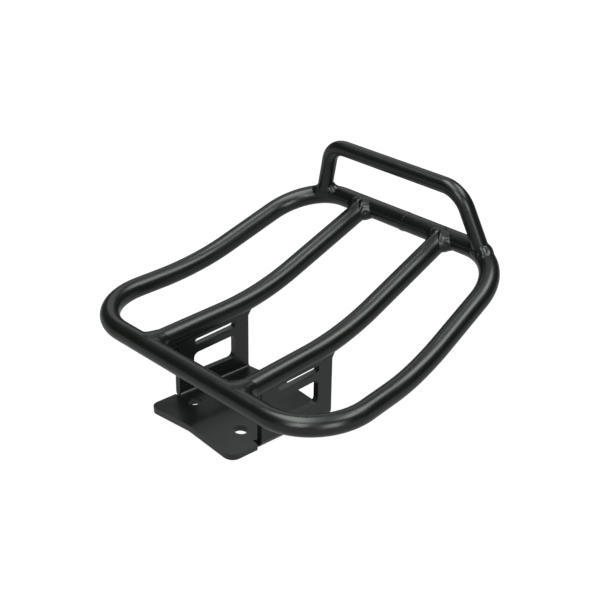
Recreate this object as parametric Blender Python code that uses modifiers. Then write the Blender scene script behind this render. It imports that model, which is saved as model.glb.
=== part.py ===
"""Scooter tail luggage rack: welded tube hoop, two rails, rear guard and a bent sheet bracket.

World frame in metres: X to the right, Y towards the tail, Z up. The origin is on the underside
of the bracket's base, midway between its two bolt holes.
"""
import math

import bmesh
import bpy
from mathutils import Vector

MM = 0.001

# Main tube of the hoop and of the rails
MAIN_RADIUS = 8.0
TUBE_SIDES = 20
GAP = 0.3

# Hoop outline in plan: half widths and stations of its virtual corners
FRONT_Y = -26.0
REAR_Y = 198.0
HOOP_FRONT_HALF = 134.4
HOOP_WAIST_HALF = 126.0
HOOP_WAIST_Y = 69.0
HOOP_REAR_HALF = 109.6
HOOP_CORNER_RADIUS = 47.0
HOOP_WAIST_RADIUS = 500.0

# Side profile of the hoop and of the rails: nearly level, one bend, then a climb to the tail
FRONT_Z = 51.0
HOOP_KNEE = (81.0, 60.2)
REAR_Z = 107.6
RAIL_KNEE = (83.0, 58.8)
KNEE_RADIUS = 220.0

# Inner rails: half spacing at both ends
RAIL_FRONT_X = 50.3
RAIL_REAR_X = 43.5

# Rear guard
GUARD_RADIUS = 6.35
GUARD_TOP = (69.2, 182.8, 157.7)
GUARD_FOOT_X = 88.8
GUARD_CORNER_RADIUS = 22.5
GUARD_STEPS = 8

# Bracket sheet
SHEET = 5.0
PLATE_OUTER_X = 50.5
PLATE_REAR_Y = 70.3
BASE_CROWN = 4.0
BEND_OUTER_RADIUS = 7.0
BEND_STEPS = 5
TAB_HALF = 48.5
TAB_FRONT_Y = -27.6
TAB_CORNER_RADIUS = 8.0
HOLE_X = 27.0
HOLE_RADIUS = 5.5
WINDOW = (14.7, 56.1, 13.65, 32.8)
WINDOW_RADIUS = 4.5
WINDOW_RISE = 0.058
SLOT_CENTRE = (36.5, 42.25)
SLOT_SIZE = (41.0, 5.0)
SLOT_RADIUS = 2.4
SLOT_SLOPE = 0.06

# Cutters reach past what they cut
SIDE_CUT_REACH = 60.0
HOLE_CUT_LENGTH = 30.0
RUN_CUT_LENGTH = 160.0
CUTTER_SIDES = 24

# Weld beads
WELD_SIDES = 20
WELD_GAP = 0.45
FRONT_LEGS = (7.0, 4.0, 2.4)
REAR_LEGS = (5.0, 4.0, 2.6)
FOOT_LEGS = (3.5, 3.5, 2.4)
SEAM_X = 2.0
SEAM_HALF_WIDTH = 3.2
SEAM_HEIGHT = 1.1
WEB_LENGTH = 7.0
WEB_HEIGHT = 6.5
WEB_HALF_THICKNESS = 1.6
WEB_CLEARANCE = 0.7
WEB_THROAT = 3.0


def clear_scene():
    for thing in list(bpy.data.objects):
        bpy.data.objects.remove(thing, do_unlink=True)


def new_collection(name):
    coll = bpy.data.collections.new(name)
    bpy.context.scene.collection.children.link(coll)
    return coll


def steel(name, colour, roughness, metallic):
    mat = bpy.data.materials.new(name)
    mat.use_nodes = True
    shader = mat.node_tree.nodes["Principled BSDF"]
    shader.inputs["Base Color"].default_value = (*colour, 1.0)
    shader.inputs["Roughness"].default_value = roughness
    shader.inputs["Metallic"].default_value = metallic
    mat.diffuse_color = (*colour, 1.0)
    return mat


def fillet(points, radii, steps):
    """Round the inner corners of an open polyline of 2-D points."""
    out = [points[0]]
    for i in range(1, len(points) - 1):
        here = Vector(points[i])
        back = (Vector(points[i - 1]) - here).normalized()
        ahead = (Vector(points[i + 1]) - here).normalized()
        turn = math.pi - back.angle(ahead)
        reach = radii[i - 1] * math.tan(turn / 2)
        centre = here + (back + ahead).normalized() * radii[i - 1] / math.cos(turn / 2)
        start = here + back * reach - centre
        side = 1.0 if ahead.cross(back) > 0 else -1.0
        for k in range(steps[i - 1] + 1):
            angle = side * turn * k / steps[i - 1]
            spun = Vector((start.x * math.cos(angle) - start.y * math.sin(angle),
                           start.x * math.sin(angle) + start.y * math.cos(angle)))
            out.append(tuple(centre + spun))
    out.append(points[-1])
    return out


def height_on(profile, y):
    for (y0, z0), (y1, z1) in zip(profile, profile[1:]):
        if y <= y1:
            return z0 + (z1 - z0) * (y - y0) / (y1 - y0)
    return profile[-1][1]


HOOP_PROFILE = fillet([(FRONT_Y, FRONT_Z), HOOP_KNEE, (REAR_Y, REAR_Z)], [KNEE_RADIUS], [6])
RAIL_PROFILE = fillet([(FRONT_Y, FRONT_Z), RAIL_KNEE, (REAR_Y, REAR_Z)], [KNEE_RADIUS], [6])


def hoop_path():
    """Closed centre line of the perimeter hoop, from the front middle round by the right side."""
    plan = fillet([(0.0, FRONT_Y), (HOOP_FRONT_HALF, FRONT_Y), (HOOP_WAIST_HALF, HOOP_WAIST_Y),
                   (HOOP_REAR_HALF, REAR_Y), (0.0, REAR_Y)],
                  [HOOP_CORNER_RADIUS, HOOP_WAIST_RADIUS, HOOP_CORNER_RADIUS], [9, 2, 9])
    knots = [y for y, z in HOOP_PROFILE[1:-1]]
    side = []
    for (x0, y0), (x1, y1) in zip(plan, plan[1:]):
        side.append((x0, y0))
        for y in knots:
            if y0 + 4.0 < y < y1 - 4.0:
                side.append((x0 + (x1 - x0) * (y - y0) / (y1 - y0), y))
    side.append(plan[-1])
    right = [Vector((x, y, height_on(HOOP_PROFILE, y))) for x, y in side]
    left = [Vector((-p.x, p.y, p.z)) for p in reversed(right[1:-1])]
    return right + left


def rail_x(y):
    return RAIL_FRONT_X + (RAIL_REAR_X - RAIL_FRONT_X) * (y - FRONT_Y) / (REAR_Y - FRONT_Y)


def rail_path(side):
    return [Vector((side * rail_x(y), y, z)) for y, z in RAIL_PROFILE]


def guard_path(foot):
    """Centre line of the guard from the right foot over the top to the left foot."""
    corner = Vector(GUARD_TOP)
    down = (foot - corner).normalized()
    inward = Vector((-1.0, 0.0, 0.0))
    turn = math.pi - down.angle(inward)
    reach = GUARD_CORNER_RADIUS * math.tan(turn / 2)
    centre = corner + (down + inward).normalized() * GUARD_CORNER_RADIUS / math.cos(turn / 2)
    start = (corner + down * reach - centre).normalized()
    end = (corner + inward * reach - centre).normalized()
    right = [foot]
    for k in range(GUARD_STEPS + 1):
        right.append(centre + start.slerp(end, k / GUARD_STEPS) * GUARD_CORNER_RADIUS)
    return right + [Vector((-p.x, p.y, p.z)) for p in reversed(right)]


def foot_point():
    """Point of the hoop's right rear corner that carries the guard's foot."""
    path = hoop_path()
    for p, q in zip(path, path[1:]):
        if p.y > HOOP_WAIST_Y and q.x <= GUARD_FOOT_X < p.x:
            return p.lerp(q, (p.x - GUARD_FOOT_X) / (p.x - q.x))
    return path[0]


def tube_curve(name, points, radius, sides, cyclic, coll):
    curve = bpy.data.curves.new(name, "CURVE")
    curve.dimensions = "3D"
    curve.bevel_depth = radius * MM
    curve.bevel_resolution = sides // 2 - 2
    curve.use_fill_caps = not cyclic
    curve.resolution_u = 1
    curve.render_resolution_u = 0
    curve.twist_mode = "MINIMUM"
    line = curve.splines.new("POLY")
    line.points.add(len(points) - 1)
    for slot, p in zip(line.points, points):
        slot.co = (p[0] * MM, p[1] * MM, p[2] * MM, 1.0)
    line.use_cyclic_u = cyclic
    obj = bpy.data.objects.new(name, curve)
    coll.objects.link(obj)
    return obj


def mesh_of(obj):
    """Turn a curve object into a mesh object of the same name with its caps welded on."""
    name = obj.name
    coll = obj.users_collection[0]
    bpy.context.view_layer.update()
    shape = obj.evaluated_get(bpy.context.evaluated_depsgraph_get())
    mesh = bpy.data.meshes.new_from_object(shape)
    mesh.transform(obj.matrix_world)
    bpy.data.objects.remove(obj, do_unlink=True)
    bm = bmesh.new()
    bm.from_mesh(mesh)
    bmesh.ops.remove_doubles(bm, verts=bm.verts, dist=0.00001)
    bmesh.ops.recalc_face_normals(bm, faces=bm.faces)
    bm.to_mesh(mesh)
    bm.free()
    solid = bpy.data.objects.new(name, mesh)
    coll.objects.link(solid)
    return solid


def mesh_object(name, verts, faces, coll):
    mesh = bpy.data.meshes.new(name)
    mesh.from_pydata([tuple(Vector(v) * MM) for v in verts], [], faces)
    bm = bmesh.new()
    bm.from_mesh(mesh)
    bmesh.ops.recalc_face_normals(bm, faces=bm.faces)
    bm.to_mesh(mesh)
    bm.free()
    obj = bpy.data.objects.new(name, mesh)
    coll.objects.link(obj)
    return obj


def as_cutter(obj):
    obj.hide_render = True
    obj.display_type = "WIRE"
    return obj


def cut(target, cutter):
    step = target.modifiers.new("Cut " + cutter.name, "BOOLEAN")
    step.operation = "DIFFERENCE"
    step.solver = "EXACT"
    step.object = cutter


def finish(obj, material):
    obj.data.materials.clear()
    obj.data.materials.append(material)
    if obj.type == "MESH":
        obj.data.shade_smooth()
        obj.data.set_sharp_from_angle(angle=math.radians(35))


def rounded_rectangle(half_a, half_b, radius, steps):
    """Closed outline of a rectangle with round corners."""
    out = []
    for k, (sa, sb) in enumerate([(1, 1), (-1, 1), (-1, -1), (1, -1)]):
        for i in range(steps + 1):
            angle = (k + i / steps) * math.pi / 2
            out.append((sa * (half_a - radius) + radius * math.cos(angle),
                        sb * (half_b - radius) + radius * math.sin(angle)))
    return out


def slot_outline():
    """Long narrow opening, climbing slightly towards the tail."""
    tilt = math.atan(SLOT_SLOPE)
    return [(SLOT_CENTRE[0] + a * math.cos(tilt) - b * math.sin(tilt),
             SLOT_CENTRE[1] + a * math.sin(tilt) + b * math.cos(tilt))
            for a, b in rounded_rectangle(SLOT_SIZE[0] / 2, SLOT_SIZE[1] / 2, SLOT_RADIUS, 4)]


def window_outline():
    """Wide opening with a level bottom and a top that climbs with the slot."""
    y0, y1, z0, z1 = WINDOW
    middle = (y0 + y1) / 2
    half = (z1 - z0) / 2
    return [(middle + a, z0 + (b + half) * (1 + WINDOW_RISE * a / (z1 - z0)))
            for a, b in rounded_rectangle((y1 - y0) / 2, half, WINDOW_RADIUS, 4)]


def side_cutter(name, outline, coll):
    """Prism along X that cuts one opening in both side plates."""
    count = len(outline)
    verts = [(x, y, z) for x in (-SIDE_CUT_REACH, SIDE_CUT_REACH) for y, z in outline]
    faces = [tuple(range(count)), tuple(range(2 * count - 1, count - 1, -1))]
    for i in range(count):
        j = (i + 1) % count
        faces.append((i, j, count + j, count + i))
    return as_cutter(mesh_object(name, verts, faces, coll))


def round_cutter(name, radius, length, centre, turn, coll):
    """Cylinder along Z, or along X when turned a quarter about Y."""
    bpy.ops.mesh.primitive_cylinder_add(vertices=28, radius=radius * MM, depth=length * MM,
                                        location=Vector(centre) * MM, rotation=(0.0, turn, 0.0))
    obj = bpy.context.object
    obj.name = name
    for owner in list(obj.users_collection):
        owner.objects.unlink(obj)
    coll.objects.link(obj)
    return as_cutter(obj)


def bracket_half(side):
    """Mid surface points of one half: crown strip, base outline, bend rows and plate top."""
    slope = BASE_CROWN / (PLATE_OUTER_X - SHEET)
    mid_x = PLATE_OUTER_X - SHEET / 2
    radius = BEND_OUTER_RADIUS - SHEET / 2
    tilt = math.atan(slope)
    start_x = mid_x - radius * (1 + math.sin(tilt))

    def base(x, y):
        drop = slope * max(x, 2.0)
        return Vector((side * x, y, SHEET / 2 - drop))

    rows = []
    centre = base(start_x, 0.0) + Vector((side * radius * math.sin(tilt), 0.0, radius * math.cos(tilt)))
    for k in range(BEND_STEPS + 1):
        angle = -math.pi / 2 - tilt + (math.pi / 2 + tilt) * k / BEND_STEPS
        rows.append((centre.x + side * radius * math.cos(angle), centre.z + radius * math.sin(angle)))
    rows.append((side * mid_x, FRONT_Z + 2.0))
    corner = [(TAB_HALF - TAB_CORNER_RADIUS * (1 - math.sin(a)),
               TAB_FRONT_Y + TAB_CORNER_RADIUS * (1 - math.cos(a)))
              for a in (math.pi / 2 * k / 5 for k in range(6))]
    outline = [base(6.0, TAB_FRONT_Y)] + [base(x, y) for x, y in corner]
    outline += [base(TAB_HALF, -2.0), base(start_x, -2.0)]
    return base, rows, outline


def bracket(coll, cutters):
    verts = []
    faces = []

    def vertex(p):
        for i, q in enumerate(verts):
            if (q - p).length < 0.001:
                return i
        verts.append(p)
        return len(verts) - 1

    for side in (-1, 1):
        base, rows, outline = bracket_half(side)
        strip = [base(0.0, TAB_FRONT_Y), base(6.0, TAB_FRONT_Y),
                 base(6.0, PLATE_REAR_Y), base(0.0, PLATE_REAR_Y)]
        fold = [Vector((rows[0][0], y, rows[0][1])) for y in (0.0, PLATE_REAR_Y)]
        shapes = [strip, outline + fold + [base(6.0, PLATE_REAR_Y)]]
        for (x0, z0), (x1, z1) in zip(rows, rows[1:]):
            shapes.append([Vector((x0, 0.0, z0)), Vector((x1, 0.0, z1)),
                           Vector((x1, PLATE_REAR_Y, z1)), Vector((x0, PLATE_REAR_Y, z0))])
        for shape in shapes:
            ring = [vertex(p) for p in shape]
            faces.append(ring if side > 0 else ring[::-1])
    obj = mesh_object("mounting_bracket", verts, faces, coll)
    skin = obj.modifiers.new("Sheet", "SOLIDIFY")
    skin.thickness = SHEET * MM
    skin.offset = 0.0
    skin.use_even_offset = True
    for cutter in cutters:
        cut(obj, cutter)
    return obj


def nearest_on(path, p):
    """Nearest point to p on a closed path."""
    best = None
    for a, b in zip(path, path[1:] + path[:1]):
        ab = b - a
        t = min(1.0, max(0.0, (p - a).dot(ab) / ab.length_squared))
        q = a + ab * t
        if best is None or (p - q).length < (p - best).length:
            best = q
    return best


def pushed_out(path, p, reach):
    """Point moved straight out from the path to the given distance."""
    centre = nearest_on(path, p)
    return centre + (p - centre).normalized() * reach


def joint_bead(name, root, direction, radius, legs, path, coll):
    """Fillet weld round a tube that stands on the hoop; closed ring of six-sided sections."""
    along = direction.normalized()
    first = along.orthogonal().normalized()
    second = along.cross(first)
    reach = MAIN_RADIUS + WELD_GAP
    verts = []
    for k in range(WELD_SIDES):
        angle = 2 * math.pi * k / WELD_SIDES
        out = first * math.cos(angle) + second * math.sin(angle)
        edge = root + out * (radius + GAP)
        s = 24.0
        best = (1e9, 0.0)
        while s > -2.0:
            p = edge + along * s
            d = (p - nearest_on(path, p)).length
            if d < reach:
                best = (reach, s)
                break
            if d < best[0]:
                best = (d, s)
            s -= 0.1
        corner = edge + along * (best[1] + 0.1)
        normal = (out + (corner - nearest_on(path, corner)).normalized()).normalized()
        away = (out * 0.6 - along * 0.8) * legs[1]
        far = pushed_out(path, corner + away, reach)
        heel = pushed_out(path, corner + away * 0.5, reach)
        tip = corner + along * legs[0]
        crest = corner + normal * legs[2]
        verts += [corner, tip, tip.lerp(crest, 0.6) + normal * 0.4, crest, far, heel]
    faces = []
    for k in range(WELD_SIDES):
        nxt = (k + 1) % WELD_SIDES
        for i in range(6):
            j = (i + 1) % 6
            faces.append((6 * k + i, 6 * k + j, 6 * nxt + j, 6 * nxt + i))
    return mesh_object(name, verts, faces, coll)


def seam_bead(name, coll):
    """Low ring of weld round the rear cross run."""
    profile = [(-1.0, 0.0), (-0.55, 0.75), (0.0, 1.0), (0.55, 0.75), (1.0, 0.0)]
    count = len(profile)
    sides = 24
    verts = []
    for k in range(sides):
        angle = 2 * math.pi * k / sides
        for u, h in profile:
            r = MAIN_RADIUS + GAP + h * SEAM_HEIGHT
            verts.append((SEAM_X + u * SEAM_HALF_WIDTH,
                          REAR_Y + r * math.cos(angle), REAR_Z + r * math.sin(angle)))
    faces = []
    for k in range(sides):
        nxt = (k + 1) % sides
        for i in range(count):
            j = (i + 1) % count
            faces.append((count * k + i, count * k + j, count * nxt + j, count * nxt + i))
    return mesh_object(name, verts, faces, coll)


def web_weld(name, side, edge_y, sense, coll):
    """Triangular web of weld between a plate's end edge and the underside of its rail."""
    y0 = edge_y + sense * GAP
    y1 = y0 + sense * WEB_LENGTH
    top0 = height_on(RAIL_PROFILE, y0) - MAIN_RADIUS - WEB_CLEARANCE
    top1 = height_on(RAIL_PROFILE, y1) - MAIN_RADIUS - WEB_CLEARANCE
    outline = [(y0, top0 - WEB_HEIGHT), (y0, top0), (y1, top1),
               ((y0 + y1) / 2 - sense * 0.8, (top0 + top1) / 2 - WEB_THROAT)]
    verts = []
    for x in (-WEB_HALF_THICKNESS, WEB_HALF_THICKNESS):
        for y, z in outline:
            verts.append((side * (PLATE_OUTER_X - SHEET / 2) + x, y, z))
    faces = [(0, 1, 2, 3), (7, 6, 5, 4), (0, 4, 5, 1), (1, 5, 6, 2), (2, 6, 7, 3), (3, 7, 4, 0)]
    return mesh_object(name, verts, faces, coll)


def main():
    clear_scene()
    parts = new_collection("scooter_luggage_rack")
    guides = new_collection("cutters")
    gloss = steel("black powder coat on tube", (0.028, 0.031, 0.030), 0.32, 0.15)
    sheet = steel("black powder coat on sheet", (0.040, 0.044, 0.042), 0.38, 0.15)
    bead = steel("black powder coat on weld", (0.032, 0.035, 0.034), 0.40, 0.15)

    path = hoop_path()
    foot = foot_point()
    feet = {"right": foot, "left": Vector((-foot.x, foot.y, foot.z))}

    hoop = mesh_of(tube_curve("perimeter_hoop", path, MAIN_RADIUS, TUBE_SIDES, True, parts))
    finish(hoop, gloss)
    wide = MAIN_RADIUS + GAP
    fat_hoop = as_cutter(mesh_of(tube_curve("cut_hoop", path, wide, CUTTER_SIDES, True, guides)))

    runs = [round_cutter("cut_front_run", wide, RUN_CUT_LENGTH, (0.0, FRONT_Y, FRONT_Z), math.pi / 2, guides),
            round_cutter("cut_rear_run", wide, RUN_CUT_LENGTH, (0.0, REAR_Y, REAR_Z), math.pi / 2, guides)]
    fat_rails = []
    for side, word in ((-1, "left"), (1, "right")):
        line = rail_path(side)
        rail = mesh_of(tube_curve(word + "_inner_rail", line, MAIN_RADIUS, TUBE_SIDES, False, parts))
        for run in runs:
            cut(rail, run)
        finish(rail, gloss)
        fat_rail = tube_curve("cut_rail_" + word, line, wide, CUTTER_SIDES, False, guides)
        fat_rails.append(as_cutter(mesh_of(fat_rail)))

    guard = mesh_of(tube_curve("rear_guard_hoop", guard_path(foot), GUARD_RADIUS, 18, False, parts))
    cut(guard, fat_hoop)
    finish(guard, gloss)

    openings = [round_cutter("cut_hole_" + word, HOLE_RADIUS, HOLE_CUT_LENGTH, (x, 0.0, 0.0), 0.0, guides)
                for word, x in (("left", -HOLE_X), ("right", HOLE_X))]
    openings.append(side_cutter("cut_window", window_outline(), guides))
    openings.append(side_cutter("cut_slot", slot_outline(), guides))
    finish(bracket(parts, openings + fat_rails), sheet)

    for side, word in ((-1, "left"), (1, "right")):
        line = rail_path(side)
        finish(joint_bead("rail_weld_front_" + word, line[0], line[1] - line[0], MAIN_RADIUS,
                          FRONT_LEGS, path, parts), bead)
        finish(joint_bead("rail_weld_rear_" + word, line[-1], line[-2] - line[-1], MAIN_RADIUS,
                          REAR_LEGS, path, parts), bead)
        top = Vector((side * GUARD_TOP[0], GUARD_TOP[1], GUARD_TOP[2]))
        finish(joint_bead("guard_weld_" + word, feet[word], top - feet[word], GUARD_RADIUS,
                          FOOT_LEGS, path, parts), bead)
        finish(web_weld("plate_weld_rear_" + word, side, PLATE_REAR_Y, 1.0, parts), bead)
        finish(web_weld("plate_weld_front_" + word, side, 0.0, -1.0, parts), bead)
    finish(seam_bead("hoop_seam_weld", parts), bead)


main()
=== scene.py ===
"""Looks of a scooter tail luggage rack: powder coated steel tube hoop, rails, guard and bracket.

Lengths are in millimetres and turned into metres where a mesh is made. The frame is the CAD's: X to the
right, Y towards the tail, Z up, origin under the bracket's base between its two bolt holes.
"""
import math

import bmesh
import bpy
import numpy as np
from mathutils import Matrix, Vector
from mathutils.geometry import delaunay_2d_cdt


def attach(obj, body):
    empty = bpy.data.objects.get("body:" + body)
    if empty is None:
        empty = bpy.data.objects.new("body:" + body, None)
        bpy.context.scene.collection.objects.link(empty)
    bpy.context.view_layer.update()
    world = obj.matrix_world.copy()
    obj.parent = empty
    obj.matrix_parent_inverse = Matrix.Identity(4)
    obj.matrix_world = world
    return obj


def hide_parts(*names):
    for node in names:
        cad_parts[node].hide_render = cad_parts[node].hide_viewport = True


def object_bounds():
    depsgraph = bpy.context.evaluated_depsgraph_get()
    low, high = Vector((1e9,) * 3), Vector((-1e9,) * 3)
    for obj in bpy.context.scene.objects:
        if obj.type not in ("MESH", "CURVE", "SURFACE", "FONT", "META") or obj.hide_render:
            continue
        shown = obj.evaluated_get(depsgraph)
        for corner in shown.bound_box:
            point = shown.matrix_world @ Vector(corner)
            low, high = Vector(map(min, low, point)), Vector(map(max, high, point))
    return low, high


MM = 0.001

# Main tube
MAIN_RADIUS = 8.0
TUBE_SIDES = 56
RING_STEP = 1.6

# Hoop outline in plan
FRONT_Y = -26.0
REAR_Y = 198.0
HOOP_FRONT_HALF = 134.4
HOOP_WAIST_HALF = 126.0
HOOP_WAIST_Y = 69.0
HOOP_REAR_HALF = 109.6
HOOP_CORNER_RADIUS = 47.0
HOOP_WAIST_RADIUS = 500.0

# Side profiles
FRONT_Z = 51.0
HOOP_KNEE = (81.0, 60.2)
RAIL_KNEE = (83.0, 58.8)
REAR_Z = 107.6
KNEE_RADIUS = 220.0
RAIL_FRONT_X = 50.3
RAIL_REAR_X = 43.5

# Rear guard
GUARD_RADIUS = 6.35
GUARD_TOP = (69.2, 182.8, 157.7)
GUARD_FOOT_X = 88.8
GUARD_CORNER_RADIUS = 22.5

# Bracket sheet
SHEET = 5.0
PLATE_OUTER_X = 50.5
PLATE_REAR_Y = 70.3
BASE_CROWN = 4.0
CROWN_RADIUS = 24.0
BEND_RADIUS = 4.6
TAB_HALF = 48.5
TAB_FRONT_Y = -27.6
TAB_CORNER_RADIUS = 8.0
RELIEF_Y = -2.0
HOLE_X = 27.0
HOLE_RADIUS = 5.5
WINDOW = (14.7, 56.1, 13.65, 32.8)
WINDOW_RADIUS = 4.5
WINDOW_RISE = 0.058
SLOT_CENTRE = (36.5, 42.25)
SLOT_SIZE = (41.0, 5.0)
SLOT_RADIUS = 2.4
SLOT_SLOPE = 0.06
EDGE_ROUND = 0.15

# Welds: how deep their skins dip under the tubes, the depth of the hidden heel, and the hoop's closing ring
SKIN_DIP = 0.12
HEEL_DEPTH = 0.8
SEAM_X = 2.0
SEAM_HALF_WIDTH = 3.1

# Camera
CAMERA_AZIMUTH = 46.7305
CAMERA_ELEVATION = 26.0956
CAMERA_ROLL = 0.8643
CAMERA_TARGET = (-0.1265043, 0.202715, -0.0126939)
CAMERA_DISTANCE = 1.1745048
CAMERA_LENS = 76.3776

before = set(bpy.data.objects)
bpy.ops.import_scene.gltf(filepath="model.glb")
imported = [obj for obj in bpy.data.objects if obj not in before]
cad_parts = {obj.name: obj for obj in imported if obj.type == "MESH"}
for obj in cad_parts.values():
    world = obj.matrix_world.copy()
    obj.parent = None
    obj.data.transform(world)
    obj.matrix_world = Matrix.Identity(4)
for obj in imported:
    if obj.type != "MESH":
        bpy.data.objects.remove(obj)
cad_low, cad_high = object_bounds()


# ---------------------------------------------------------------- routes of the tubes

def unit(v):
    return v / np.linalg.norm(v)


def fillet(points, radii, steps):
    """Round the inner corners of an open polyline of 2-D points."""
    out = [np.array(points[0], float)]
    for i in range(1, len(points) - 1):
        here = np.array(points[i], float)
        back = unit(np.array(points[i - 1], float) - here)
        ahead = unit(np.array(points[i + 1], float) - here)
        turn = math.pi - math.acos(float(back @ ahead))
        radius = radii[i - 1]
        centre = here + unit(back + ahead) * radius / math.cos(turn / 2)
        start = here + back * radius * math.tan(turn / 2) - centre
        side = 1.0 if ahead[0] * back[1] - ahead[1] * back[0] > 0 else -1.0
        for k in range(steps + 1):
            a = side * turn * k / steps
            out.append(centre + np.array([start[0] * math.cos(a) - start[1] * math.sin(a),
                                          start[0] * math.sin(a) + start[1] * math.cos(a)]))
    out.append(np.array(points[-1], float))
    return np.array(out)


def resampled(points, step, closed=False):
    """The same line with evenly spaced points."""
    if closed:
        points = np.vstack([points, points[:1]])
    run = np.concatenate([[0.0], np.cumsum(np.linalg.norm(np.diff(points, axis=0), axis=1))])
    count = max(2, int(round(run[-1] / step)))
    at = np.linspace(0.0, run[-1], count + 1)
    out = np.column_stack([np.interp(at, run, points[:, k]) for k in range(points.shape[1])])
    return out[:-1] if closed else out


HOOP_PROFILE = fillet([(FRONT_Y, FRONT_Z), HOOP_KNEE, (REAR_Y, REAR_Z)], [KNEE_RADIUS], 60)
RAIL_PROFILE = fillet([(FRONT_Y, FRONT_Z), RAIL_KNEE, (REAR_Y, REAR_Z)], [KNEE_RADIUS], 60)


def hoop_height(y):
    return np.interp(y, HOOP_PROFILE[:, 0], HOOP_PROFILE[:, 1])


def rail_height(y):
    return np.interp(y, RAIL_PROFILE[:, 0], RAIL_PROFILE[:, 1])


def rail_x(y):
    return RAIL_FRONT_X + (RAIL_REAR_X - RAIL_FRONT_X) * (y - FRONT_Y) / (REAR_Y - FRONT_Y)


def hoop_route():
    plan = fillet([(0.0, FRONT_Y), (HOOP_FRONT_HALF, FRONT_Y), (HOOP_WAIST_HALF, HOOP_WAIST_Y),
                   (HOOP_REAR_HALF, REAR_Y), (0.0, REAR_Y)],
                  [HOOP_CORNER_RADIUS, HOOP_WAIST_RADIUS, HOOP_CORNER_RADIUS], 48)
    right = resampled(plan, RING_STEP)
    left = right[1:-1][::-1] * np.array([-1.0, 1.0])
    plan = np.vstack([right, left])
    return np.column_stack([plan, hoop_height(plan[:, 1])])


def rail_route(side):
    y = np.linspace(FRONT_Y, REAR_Y, 150)
    return np.column_stack([side * rail_x(y), y, rail_height(y)])


HOOP = hoop_route()


def foot_point(side):
    """Point of the hoop's rear corner that carries the guard's foot."""
    rear = HOOP[(HOOP[:, 1] > HOOP_WAIST_Y) & (HOOP[:, 0] > 60.0)]
    order = rear[np.argsort(rear[:, 0])]
    y = np.interp(GUARD_FOOT_X, order[:, 0], order[:, 1])
    return np.array([side * GUARD_FOOT_X, y, hoop_height(y)])


def guard_route():
    foot = foot_point(1)
    corner = np.array(GUARD_TOP)
    down = unit(foot - corner)
    inward = np.array([-1.0, 0.0, 0.0])
    turn = math.pi - math.acos(float(down @ inward))
    reach = GUARD_CORNER_RADIUS * math.tan(turn / 2)
    centre = corner + unit(down + inward) * GUARD_CORNER_RADIUS / math.cos(turn / 2)
    start = unit(corner + down * reach - centre)
    across = unit((corner + inward * reach - centre) - start * ((corner + inward * reach - centre) @ start))
    arc = [centre + GUARD_CORNER_RADIUS * (start * math.cos(turn * k / 40) + across * math.sin(turn * k / 40))
           for k in range(41)]
    right = np.vstack([[foot], arc])
    left = right[::-1] * np.array([-1.0, 1.0, 1.0])
    return resampled(np.vstack([right, left]), RING_STEP)


def nearest_on_hoop(p):
    """Nearest points of the hoop's centre line to the points p."""
    p = np.atleast_2d(p)
    order = [i for i in range(len(HOOP)) if np.linalg.norm(HOOP[i] - p[0]) < 60.0]
    a = HOOP[order]
    b = HOOP[[(i + 1) % len(HOOP) for i in order]]
    ab = b - a
    t = np.einsum("pij,ij->pi", p[:, None] - a[None], ab) / np.einsum("ij,ij->i", ab, ab)
    q = a[None] + ab[None] * np.clip(t, 0.0, 1.0)[..., None]
    d = np.linalg.norm(q - p[:, None], axis=2)
    best = d.argmin(axis=1)
    return q[np.arange(len(p)), best]


def gap_to_hoop(p):
    return np.linalg.norm(nearest_on_hoop(p) - np.atleast_2d(p), axis=1)


def landing(root, along, edge, reach):
    """How far along its generator a standing tube's wall meets the hoop's surface."""
    s = np.linspace(22.0, -1.0, 116)
    d = gap_to_hoop(edge + along * s[:, None])
    inside = np.nonzero(d < reach)[0]
    if len(inside) == 0 or inside[0] == 0:
        return float(s[d.argmin()])
    k = inside[0]
    return float(s[k - 1] + (s[k] - s[k - 1]) * (d[k - 1] - reach) / (d[k - 1] - d[k]))


# ---------------------------------------------------------------- mesh helpers

def mesh_piece(name, verts, faces, material, nodes):
    mesh = bpy.data.meshes.new(name)
    mesh.from_pydata([tuple(v) for v in np.asarray(verts) * MM], [], faces)
    bm = bmesh.new()
    bm.from_mesh(mesh)
    bmesh.ops.recalc_face_normals(bm, faces=bm.faces)
    bm.to_mesh(mesh)
    bm.free()
    mesh.materials.append(material)
    mesh.shade_smooth()
    obj = bpy.data.objects.new(name, mesh)
    bpy.context.scene.collection.objects.link(obj)
    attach(obj, "root")
    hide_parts(*nodes)
    return obj


def ring_faces(rings, sides, closed):
    faces = []
    for i in range(rings if closed else rings - 1):
        j = (i + 1) % rings
        for k in range(sides):
            m = (k + 1) % sides
            faces.append((i * sides + k, i * sides + m, j * sides + m, j * sides + k))
    return faces


def sweep(path, radius, sides, closed, up):
    """Rings of a round tube along a path, with the section's direction held by up."""
    if closed:
        along = np.roll(path, -1, axis=0) - np.roll(path, 1, axis=0)
    else:
        along = np.gradient(path, axis=0)
    along /= np.linalg.norm(along, axis=1)[:, None]
    first = np.cross(along, up)
    first /= np.linalg.norm(first, axis=1)[:, None]
    second = np.cross(first, along)
    turn = np.linspace(0.0, 2 * math.pi, sides, endpoint=False)
    wall = first[:, None] * np.cos(turn)[None, :, None] + second[:, None] * np.sin(turn)[None, :, None]
    return path[:, None] + wall * radius, wall


def coped_tube(path, radius, up):
    """Tube whose two ends are shaped to the hoop's surface and closed just under it."""
    rings, wall = sweep(path, radius, TUBE_SIDES, False, up)
    for end, step in ((0, 1), (-1, -1)):
        along = unit(path[end + step] - path[end])
        edge = path[end] + wall[end + step * 2] * radius
        for k in range(TUBE_SIDES):
            s = landing(path[end], along, edge[k], MAIN_RADIUS - 0.35)
            stop = edge[k] + along * s
            index = end
            while (rings[index, k] - path[end]) @ along < s + 0.4:
                rings[index, k] = stop
                index += step
    return rings


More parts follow.
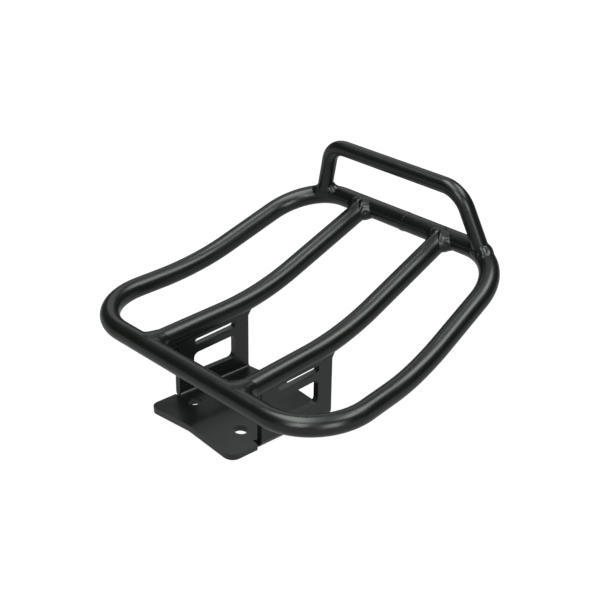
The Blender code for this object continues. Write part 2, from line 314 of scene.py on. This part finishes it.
def tube_piece(name, rings, closed, material):
    count, sides = rings.shape[:2]
    verts = list(rings.reshape(-1, 3))
    faces = ring_faces(count, sides, closed)
    if not closed:
        for end in (0, count - 1):
            verts.append(rings[end].mean(axis=0))
            hub = len(verts) - 1
            for k in range(sides):
                faces.append((end * sides + k, end * sides + (k + 1) % sides, hub))
    obj = mesh_piece(name, verts, faces, material, [name])
    bm = bmesh.new()
    bm.from_mesh(obj.data)
    bmesh.ops.remove_doubles(bm, verts=bm.verts, dist=0.00001)
    bmesh.ops.recalc_face_normals(bm, faces=bm.faces)
    bm.to_mesh(obj.data)
    bm.free()
    obj.data.set_sharp_from_angle(angle=math.radians(40))
    return obj


# ---------------------------------------------------------------- welds

def wave(angle, seed):
    """Slow, irregular variation round a joint, between about -1 and 1."""
    return (0.5 * math.sin(angle + seed) + 0.3 * math.sin(2 * angle + 2.3 * seed)
            + 0.2 * math.sin(5 * angle + 4.1 * seed))


def bead(name, root, along, radius, seed, material, up_leg, out_leg, crown, ripples, depth):
    """Weld round the foot of a tube that stands on the hoop: a skin from wall to wall with a hidden heel.

    The legs, the crown and the ripples' depth are functions of the direction out of the standing tube.
    """
    along = unit(along)
    first = unit(np.cross(along, np.array([0.31, 0.12, 0.94])))
    second = np.cross(along, first)
    sides = 168
    across = 14
    verts = []
    for k in range(sides):
        angle = 2 * math.pi * k / sides
        out = first * math.cos(angle) + second * math.sin(angle)
        edge = root + out * radius
        corner = edge + along * landing(root, along, edge, MAIN_RADIUS)
        normal = unit((corner - nearest_on_hoop(corner))[0])
        level = out - normal * (out @ normal)
        behind = -(along - normal * (along @ normal))
        away = unit(level + behind)
        rise = up_leg(out) * (1.0 + 0.10 * wave(angle, seed))
        reach = out_leg(out) * (1.0 + 0.10 * wave(angle, seed + 1.7))
        tip = corner + along * rise - out * SKIN_DIP
        far = corner + away * reach
        centre = nearest_on_hoop(far)[0]
        far = centre + unit(far - centre) * (MAIN_RADIUS - SKIN_DIP)
        lift = unit(out + normal)
        middle = corner + lift * crown(out)
        for i in range(across + 1):
            u = i / across
            p = tip * (1 - u) ** 2 + middle * 2 * u * (1 - u) + far * u ** 2
            phase = ripples * angle / (2 * math.pi) + 0.55 * (2 * u - 1) ** 2 + 0.16 * wave(angle, seed + 3)
            coin = abs(math.sin(math.pi * phase)) ** 0.55 - 0.55
            verts.append(p + lift * depth(out) * coin * math.sin(math.pi * u) ** 0.7)
        verts.append(far - normal * HEEL_DEPTH)
        verts.append(corner - lift * HEEL_DEPTH)
        verts.append(tip - out * HEEL_DEPTH)
    obj = mesh_piece(name, verts, ring_faces(sides, across + 4, True), material, [name])
    obj.data.set_sharp_from_angle(angle=math.radians(75))
    return obj


def seam(name, material):
    """Nearly flush ring of weld that closes the hoop in its rear cross run, proudest underneath."""
    sides = 120
    across = 12
    verts = []
    for k in range(sides):
        angle = 2 * math.pi * k / sides
        half = SEAM_HALF_WIDTH * (1.0 + 0.12 * wave(angle, 0.6))
        for i in range(across + 1):
            u = 2 * i / across - 1
            phase = 15 * angle / (2 * math.pi) + 0.5 * u * u
            coin = abs(math.sin(math.pi * phase)) ** 0.6
            height = 0.10 + 0.06 * coin + 0.45 * max(0.0, -math.sin(angle)) ** 2
            r = MAIN_RADIUS + (height * (1 - u * u) ** 0.8 - 0.04)
            verts.append((SEAM_X + u * half, REAR_Y + r * math.cos(angle), REAR_Z + r * math.sin(angle)))
        r = MAIN_RADIUS - HEEL_DEPTH
        verts.append((SEAM_X, REAR_Y + r * math.cos(angle), REAR_Z + r * math.sin(angle)))
    return mesh_piece(name, verts, ring_faces(sides, across + 2, True), material, [name])


def web(name, side, edge_y, sense, length, hang_at_edge, fade, material):
    """Weld that fills the corner between a plate's end edge and the rail over it, and runs on as a fillet."""
    rows = []
    steps = 22
    for i in range(steps + 1):
        u = i / steps
        y = edge_y + sense * (length * u - 0.4)
        top = rail_height(y) - MAIN_RADIUS + 0.9
        hang = hang_at_edge * (1 - u) ** fade
        half = 2.0 * (1 - 0.55 * u ** 2) + 0.12 * math.sin(9 * u)
        x = side * (48.0 + (rail_x(y) - 48.0) * u)
        ring = []
        for k in range(16):
            a = 2 * math.pi * k / 16
            spread = half * math.copysign(abs(math.cos(a)) ** 0.7, math.cos(a))
            z = top - hang / 2 - 0.5 + (hang / 2 + 0.5) * math.copysign(abs(math.sin(a)) ** 0.7, math.sin(a))
            ring.append((x + spread, y, z))
        rows += ring
    verts = list(rows)
    faces = ring_faces(steps + 1, 16, False)
    faces.append(tuple(range(16)))
    faces.append(tuple(steps * 16 + k for k in range(16)))
    return mesh_piece(name, verts, faces, material, [name])


# ---------------------------------------------------------------- bracket

TILT = math.atan(BASE_CROWN / (PLATE_OUTER_X - SHEET))
PLATE_MID_X = PLATE_OUTER_X - SHEET / 2
BEND_START_X = PLATE_MID_X - BEND_RADIUS * (1 + math.sin(TILT))
BEND_START = BEND_START_X / math.cos(TILT)
BEND_END = BEND_START + BEND_RADIUS * (math.pi / 2 + TILT)
BEND_TOP_Z = SHEET / 2 - BEND_START_X * math.tan(TILT) + BEND_RADIUS * math.cos(TILT)


def folded(s, y):
    """Place on the bent sheet's middle surface of a point of its flat pattern."""
    side = math.copysign(1.0, s)
    s = abs(s)
    ease = CROWN_RADIUS * TILT
    drop = math.tan(TILT) * s
    if s < ease:
        drop = math.tan(TILT) * (s * s / (2 * ease) + ease / 2)
    x = s * math.cos(TILT)
    z = SHEET / 2 - drop * math.cos(TILT)
    if y > RELIEF_Y / 2 and s > BEND_START:
        if s > BEND_END:
            x = PLATE_MID_X
            z = BEND_TOP_Z + s - BEND_END
        else:
            a = -math.pi / 2 - TILT + (s - BEND_START) / BEND_RADIUS
            x = PLATE_MID_X - BEND_RADIUS + BEND_RADIUS * math.cos(a)
            z = BEND_TOP_Z + BEND_RADIUS * math.sin(a)
    return (side * x, y, z)


def rounded_box(centre, half_a, half_b, radius, slope=0.0):
    """Closed outline of a rectangle with round corners."""
    tilt = math.atan(slope)
    out = []
    for k, (sa, sb) in enumerate([(1, 1), (-1, 1), (-1, -1), (1, -1)]):
        for i in range(9):
            angle = (k + i / 8) * math.pi / 2
            a = sa * (half_a - radius) + radius * math.cos(angle)
            b = sb * (half_b - radius) + radius * math.sin(angle)
            out.append((centre[0] + a * math.cos(tilt) - b * math.sin(tilt),
                        centre[1] + a * math.sin(tilt) + b * math.cos(tilt)))
    return np.array(out)


def inside(points, loop):
    """Which of the points lie inside a closed outline."""
    x, y = points[:, 0][:, None], points[:, 1][:, None]
    x0, y0 = loop[:, 0][None], loop[:, 1][None]
    x1, y1 = np.roll(loop[:, 0], -1)[None], np.roll(loop[:, 1], -1)[None]
    crosses = (y0 > y) != (y1 > y)
    with np.errstate(divide="ignore", invalid="ignore"):
        at = x0 + (y - y0) * (x1 - x0) / (y1 - y0)
    return (np.sum(crosses & (x < at), axis=1) % 2) == 1


def plate_top(y):
    return BEND_END + rail_height(y) - MAIN_RADIUS + 0.7 - BEND_TOP_Z


def flat_pattern():
    """Outline and openings of the sheet before bending, in arc length from its middle and Y."""
    tab = TAB_HALF / math.cos(TILT)
    right = [(0.0, TAB_FRONT_Y)]
    for k in range(13):
        a = math.pi / 2 * k / 12
        right.append((tab - TAB_CORNER_RADIUS * (1 - math.sin(a)),
                      TAB_FRONT_Y + TAB_CORNER_RADIUS * (1 - math.cos(a))))
    right += [(tab, RELIEF_Y), (BEND_START, RELIEF_Y)]
    right += [(BEND_START - 0.6 * math.sin(a), RELIEF_Y / 2 + RELIEF_Y / 2 * math.cos(a))
              for a in (math.pi * k / 6 for k in range(1, 6))]
    right += [(plate_top(y), y) for y in np.linspace(0.0, PLATE_REAR_Y, 30)]
    right += [(BEND_END, PLATE_REAR_Y), (BEND_START, PLATE_REAR_Y), (0.0, PLATE_REAR_Y)]
    right = np.array(right)
    left = right[1:-1][::-1] * np.array([-1.0, 1.0])
    outline = np.vstack([right, left])
    holes = []
    turn = np.linspace(0.0, 2 * math.pi, 48, endpoint=False)
    y0, y1, z0, z1 = WINDOW
    for side in (-1.0, 1.0):
        holes.append(np.column_stack([side * HOLE_X / math.cos(TILT) + HOLE_RADIUS * np.cos(turn),
                                      HOLE_RADIUS * np.sin(turn)]))
        window = rounded_box(((y0 + y1) / 2, (z0 + z1) / 2), (y1 - y0) / 2, (z1 - z0) / 2, WINDOW_RADIUS)
        window[:, 1] += (window[:, 1] - z0) * WINDOW_RISE * (window[:, 0] - (y0 + y1) / 2) / (z1 - z0)
        for yz in (window,
                   rounded_box(SLOT_CENTRE, SLOT_SIZE[0] / 2, SLOT_SIZE[1] / 2, SLOT_RADIUS, SLOT_SLOPE)):
            holes.append(np.column_stack([side * (BEND_END + yz[:, 1] - BEND_TOP_Z), yz[:, 0]]))
    return outline, holes


def bracket(name, material):
    outline, holes = flat_pattern()
    loops = [resampled(outline, 1.0, True)] + holes
    verts = []
    edges = []
    for loop in loops:
        base = len(verts)
        verts += [Vector(p) for p in loop]
        edges += [(base + i, base + (i + 1) % len(loop)) for i in range(len(loop))]
    border = np.vstack(loops)
    rows = list(np.linspace(0.0, BEND_START, 26)) + list(np.linspace(BEND_START, BEND_END, 13)[1:])
    rows += list(np.arange(BEND_END + 2.0, 90.0, 2.2))
    grid = np.array([(side * s, y) for s in rows for side in ((-1, 1) if s else (1,))
                     for y in np.arange(TAB_FRONT_Y, PLATE_REAR_Y, 2.2)])
    keep = inside(grid, loops[0])
    for hole in holes:
        keep &= ~inside(grid, hole)
    keep &= np.min(np.linalg.norm(grid[:, None] - border[None], axis=2), axis=1) > 0.7
    verts += [Vector(p) for p in grid[keep]]
    flat, _, tris, _, _, _ = delaunay_2d_cdt(verts, edges, [], 0, 1e-6)
    flat = np.array([tuple(p) for p in flat])
    tris = np.array(tris)
    middle = flat[tris].mean(axis=1)
    real = inside(middle, loops[0])
    for hole in holes:
        real &= ~inside(middle, hole)
    points = np.array([folded(s, y) for s, y in flat])
    faces = [tuple(int(i) for i in t) for t in tris[real]]
    used = sorted({i for t in faces for i in t})
    place = {i: k for k, i in enumerate(used)}
    faces = [tuple(place[i] for i in t) for t in faces]
    obj = mesh_piece(name, points[used], faces, material, [name])
    skin = obj.modifiers.new("Sheet thickness", "SOLIDIFY")
    skin.thickness = SHEET * MM
    skin.offset = 0.0
    skin.use_even_offset = True
    edge = obj.modifiers.new("Rounded edges", "BEVEL")
    edge.width = EDGE_ROUND * MM
    edge.segments = 3
    edge.limit_method = "ANGLE"
    edge.angle_limit = math.radians(50)
    edge.harden_normals = True
    return obj


# ---------------------------------------------------------------- materials

def powder_coat(name, colour, gloss, shine, peel, grain):
    """Satin black powder coat: fine orange peel, cloudy gloss and faint lighter specks."""
    mat = bpy.data.materials.new(name)
    mat.use_nodes = True
    nodes = mat.node_tree.nodes
    links = mat.node_tree.links
    shader = nodes["Principled BSDF"]
    place = nodes.new("ShaderNodeTexCoord")

    def noise(scale, detail, rough=0.5):
        node = nodes.new("ShaderNodeTexNoise")
        node.inputs["Scale"].default_value = scale
        node.inputs["Detail"].default_value = detail
        node.inputs["Roughness"].default_value = rough
        links.new(place.outputs["Object"], node.inputs["Vector"])
        return node.outputs["Fac"]

    def spread(source, low, high, to_low, to_high):
        node = nodes.new("ShaderNodeMapRange")
        node.inputs["From Min"].default_value = low
        node.inputs["From Max"].default_value = high
        node.inputs["To Min"].default_value = to_low
        node.inputs["To Max"].default_value = to_high
        links.new(source, node.inputs["Value"])
        return node.outputs["Result"]

    cloud = noise(45.0, 3.0)
    peel_noise = noise(520.0, 2.0, 0.45)
    grain_noise = noise(2600.0, 2.0)

    mix = nodes.new("ShaderNodeMix")
    mix.data_type = "RGBA"
    mix.inputs["A"].default_value = (*colour, 1.0)
    mix.inputs["B"].default_value = (colour[0] * 2.6, colour[1] * 2.6, colour[2] * 2.6, 1.0)
    links.new(spread(grain_noise, 0.55, 0.8, 0.0, 1.0), mix.inputs["Factor"])
    links.new(mix.outputs["Result"], shader.inputs["Base Color"])

    rough = nodes.new("ShaderNodeMath")
    rough.operation = "ADD"
    links.new(spread(cloud, 0.3, 0.7, gloss - 0.03, gloss + 0.03), rough.inputs[0])
    links.new(spread(grain_noise, 0.3, 0.7, -0.025, 0.025), rough.inputs[1])
    links.new(rough.outputs["Value"], shader.inputs["Roughness"])
    shader.inputs["Specular IOR Level"].default_value = shine
    shader.inputs["Specular Tint"].default_value = (0.93, 1.0, 0.96, 1.0)

    coarse = nodes.new("ShaderNodeBump")
    coarse.inputs["Strength"].default_value = peel
    coarse.inputs["Distance"].default_value = 0.0002
    links.new(peel_noise, coarse.inputs["Height"])
    fine = nodes.new("ShaderNodeBump")
    fine.inputs["Strength"].default_value = grain
    fine.inputs["Distance"].default_value = 0.00006
    links.new(grain_noise, fine.inputs["Height"])
    links.new(coarse.outputs["Normal"], fine.inputs["Normal"])
    links.new(fine.outputs["Normal"], shader.inputs["Normal"])
    return mat


TUBE_COAT = powder_coat("black powder coat on tube", (0.0014, 0.0024, 0.0015), 0.30, 0.50, 0.03, 0.03)
SHEET_COAT = powder_coat("black powder coat on sheet", (0.0022, 0.0032, 0.0024), 0.33, 0.62, 0.04, 0.04)
WELD_COAT = powder_coat("black powder coat on weld", (0.0018, 0.0028, 0.0019), 0.28, 0.50, 0.05, 0.03)


# ---------------------------------------------------------------- pieces

UP = np.array([0.0, 0.0, 1.0])
tube_piece("perimeter_hoop", sweep(HOOP, MAIN_RADIUS, TUBE_SIDES, True, UP)[0], True, TUBE_COAT)
for side, word in ((-1, "left"), (1, "right")):
    tube_piece(word + "_inner_rail", coped_tube(rail_route(side), MAIN_RADIUS, UP), False, TUBE_COAT)
guard = guard_route()
guard_plane = unit(np.cross(guard[0] - guard[len(guard) // 2], np.array([1.0, 0.0, 0.0])))
tube_piece("rear_guard_hoop", coped_tube(guard, GUARD_RADIUS, guard_plane), False, TUBE_COAT)
bracket("mounting_bracket", SHEET_COAT)


def upward(out):
    return max(0.0, out[2])


def inner_side(out):
    """Near 1 on the side of the left foot that faces the rack's middle and tail, 0 on the far side."""
    return min(1.0, max(0.0, 0.3 + out[0] + 1.1 * out[1]))


# Long smooth mounds in front; short rippled beads behind; a flare with coins on one side at the left foot
FRONT_BEAD = {"up_leg": lambda out: 8.0 + 5.0 * upward(out) ** 2, "out_leg": lambda out: 8.0,
              "crown": lambda out: 0.4 + 1.8 * upward(out), "ripples": 9, "depth": lambda out: 0.05}
REAR_BEAD = {"up_leg": lambda out: 6.0, "out_leg": lambda out: 5.9,
             "crown": lambda out: 3.2, "ripples": 10, "depth": lambda out: 0.65}
LEFT_FOOT_BEAD = {"up_leg": lambda out: 4.8, "out_leg": lambda out: 5.2,
                  "crown": lambda out: 0.8 + 1.8 * inner_side(out), "ripples": 8,
                  "depth": lambda out: 0.15 + 0.65 * inner_side(out)}
RIGHT_FOOT_BEAD = {"up_leg": lambda out: 4.8, "out_leg": lambda out: 5.2,
                   "crown": lambda out: 2.3, "ripples": 8, "depth": lambda out: 0.90}

for side, word, foot_bead in ((-1, "left", LEFT_FOOT_BEAD), (1, "right", RIGHT_FOOT_BEAD)):
    line = rail_route(side)
    bead("rail_weld_front_" + word, line[0], line[3] - line[0], MAIN_RADIUS, 0.7 + side, WELD_COAT,
         **FRONT_BEAD)
    bead("rail_weld_rear_" + word, line[-1], line[-4] - line[-1], MAIN_RADIUS, 1.9 + side, WELD_COAT,
         **REAR_BEAD)
    foot = foot_point(side)
    leg = np.array([side * GUARD_TOP[0], GUARD_TOP[1], GUARD_TOP[2]]) - foot
    bead("guard_weld_" + word, foot, leg, GUARD_RADIUS, 2.6 + side, WELD_COAT, **foot_bead)
    web("plate_weld_rear_" + word, side, PLATE_REAR_Y, 1.0, 9.4, 8.2, 2.3, WELD_COAT)
    web("plate_weld_front_" + word, side, 0.0, -1.0, 15.0, 10.5, 1.2, WELD_COAT)
seam("hoop_seam_weld", WELD_COAT)


# ---------------------------------------------------------------- floor, light and camera

def floor(height):
    """Wide pale floor that glows evenly in view, and glows less in reflections, least behind the rack."""
    half = 14.0
    mesh = bpy.data.meshes.new("studio_floor")
    corners = [(-half, -half, height), (half, -half, height), (half, half, height), (-half, half, height)]
    mesh.from_pydata(corners, [], [(0, 1, 2, 3)])
    mat = bpy.data.materials.new("pale studio floor")
    mat.use_nodes = True
    shader = mat.node_tree.nodes["Principled BSDF"]
    shader.inputs["Base Color"].default_value = (0.09, 0.09, 0.09, 1.0)
    shader.inputs["Roughness"].default_value = 0.9
    shader.inputs["Specular IOR Level"].default_value = 0.0
    shader.inputs["Emission Color"].default_value = (1.0, 1.0, 1.0, 1.0)
    glow = mat.node_tree.nodes.new("ShaderNodeMapRange")
    glow.inputs["To Max"].default_value = 0.93
    rays = mat.node_tree.nodes.new("ShaderNodeLightPath")
    mat.node_tree.links.new(rays.outputs["Is Camera Ray"], glow.inputs["Value"])
    place = mat.node_tree.nodes.new("ShaderNodeTexCoord")
    front = mat.node_tree.nodes.new("ShaderNodeVectorMath")
    front.operation = "DOT_PRODUCT"
    front.inputs[1].default_value = (0.73, -0.69, 0.0)
    fall = mat.node_tree.nodes.new("ShaderNodeMapRange")
    fall.interpolation_type = "SMOOTHSTEP"
    fall.inputs["From Min"].default_value = -0.5
    fall.inputs["From Max"].default_value = 0.5
    fall.inputs["To Min"].default_value = 0.32
    fall.inputs["To Max"].default_value = 0.50
    mat.node_tree.links.new(place.outputs["Object"], front.inputs[0])
    mat.node_tree.links.new(front.outputs["Value"], fall.inputs["Value"])
    mat.node_tree.links.new(fall.outputs["Result"], glow.inputs["To Min"])
    mat.node_tree.links.new(glow.outputs["Result"], shader.inputs["Emission Strength"])
    mesh.materials.append(mat)
    obj = bpy.data.objects.new("studio_floor", mesh)
    bpy.context.scene.collection.objects.link(obj)


def softbox(name, place, aim, size, radiance):
    """Rectangular soft light; size is width and height in metres."""
    data = bpy.data.lights.new(name, "AREA")
    data.shape = "RECTANGLE"
    data.size = size[0]
    data.size_y = size[1]
    data.energy = radiance * math.pi * size[0] * size[1]
    obj = bpy.data.objects.new(name, data)
    obj.location = place
    obj.rotation_euler = (Vector(aim) - Vector(place)).to_track_quat("-Z", "Y").to_euler()
    obj.visible_camera = False
    bpy.context.scene.collection.objects.link(obj)
    return obj


def overhead(name, offset, shift, width, length, height, radiance):
    """Level strip light over the rack, beside the camera's line of sight and shifted towards the camera."""
    data = bpy.data.lights.new(name, "AREA")
    data.shape = "RECTANGLE"
    data.size = length
    data.size_y = width
    data.energy = radiance * math.pi * length * width
    obj = bpy.data.objects.new(name, data)
    azimuth = math.radians(CAMERA_AZIMUTH)
    obj.location = (math.cos(azimuth) * offset + math.sin(azimuth) * shift,
                    0.09 + math.sin(azimuth) * offset - math.cos(azimuth) * shift, height)
    obj.rotation_euler = (0.0, 0.0, azimuth - math.pi / 2)
    obj.visible_camera = False
    bpy.context.scene.collection.objects.link(obj)


floor(float(cad_low.z))
overhead("left_strip_light", -0.555, 0.21, 0.73, 1.62, 1.65, 5.9)
overhead("right_strip_light", 0.91, 0.08, 0.72, 1.70, 1.65, 6.1)
softbox("back_wall_light", (-1.65, 1.35, 1.50), (0.0, 0.1, 0.05), (1.7, 1.15), 0.85)
softbox("front_window_light", (0.66, -1.55, 1.00), (0.0, 0.1, 0.05), (0.62, 1.1), 7.5)
softbox("side_window_light", (1.85, -0.66, 0.62), (0.0, 0.1, 0.05), (0.75, 1.1), 6.4)


def studio_world():
    """White in view; in reflections dark up to a soft bright ceiling."""
    world = bpy.data.worlds.new("studio")
    bpy.context.scene.world = world
    world.use_nodes = True
    sky = world.node_tree.nodes
    tie = world.node_tree.links
    where = sky.new("ShaderNodeTexCoord")
    split = sky.new("ShaderNodeSeparateXYZ")
    tie.new(where.outputs["Generated"], split.inputs["Vector"])
    climb = sky.new("ShaderNodeMapRange")
    climb.interpolation_type = "SMOOTHSTEP"
    climb.inputs["From Min"].default_value = 0.76
    climb.inputs["From Max"].default_value = 0.95
    climb.inputs["To Min"].default_value = 0.08
    climb.inputs["To Max"].default_value = 1.0
    tie.new(split.outputs["Z"], climb.inputs["Value"])
    shown = sky.new("ShaderNodeLightPath")
    blend = sky.new("ShaderNodeMix")
    blend.inputs["B"].default_value = 1.0
    tie.new(shown.outputs["Is Camera Ray"], blend.inputs["Factor"])
    tie.new(climb.outputs["Result"], blend.inputs["A"])
    tie.new(blend.outputs["Result"], sky["Background"].inputs["Strength"])
    sky["Background"].inputs["Color"].default_value = (0.98, 1.0, 1.0, 1.0)


def studio_camera():
    """Camera on a line through the target, turned by azimuth, elevation and roll."""
    camera_data = bpy.data.cameras.new("camera")
    camera_data.lens = CAMERA_LENS
    camera_data.sensor_width = 36.0
    camera_data.clip_start = 0.01
    camera_data.clip_end = 100.0
    camera = bpy.data.objects.new("camera", camera_data)
    bpy.context.scene.collection.objects.link(camera)
    azimuth, elevation, roll = (math.radians(a) for a in (CAMERA_AZIMUTH, CAMERA_ELEVATION, CAMERA_ROLL))
    back = Vector((math.sin(azimuth) * math.cos(elevation), -math.cos(azimuth) * math.cos(elevation),
                   math.sin(elevation)))
    across = Vector((0.0, 0.0, 1.0)).cross(back).normalized()
    above = back.cross(across)
    right = across * math.cos(roll) + above * math.sin(roll)
    top = above * math.cos(roll) - across * math.sin(roll)
    spot = Vector(CAMERA_TARGET) + back * CAMERA_DISTANCE
    camera.matrix_world = Matrix(((right.x, top.x, back.x, spot.x), (right.y, top.y, back.y, spot.y),
                                  (right.z, top.z, back.z, spot.z), (0.0, 0.0, 0.0, 1.0)))
    bpy.context.scene.camera = camera


studio_world()
studio_camera()
bpy.context.scene.view_settings.view_transform = "Standard"
bpy.context.scene.view_settings.look = "None"
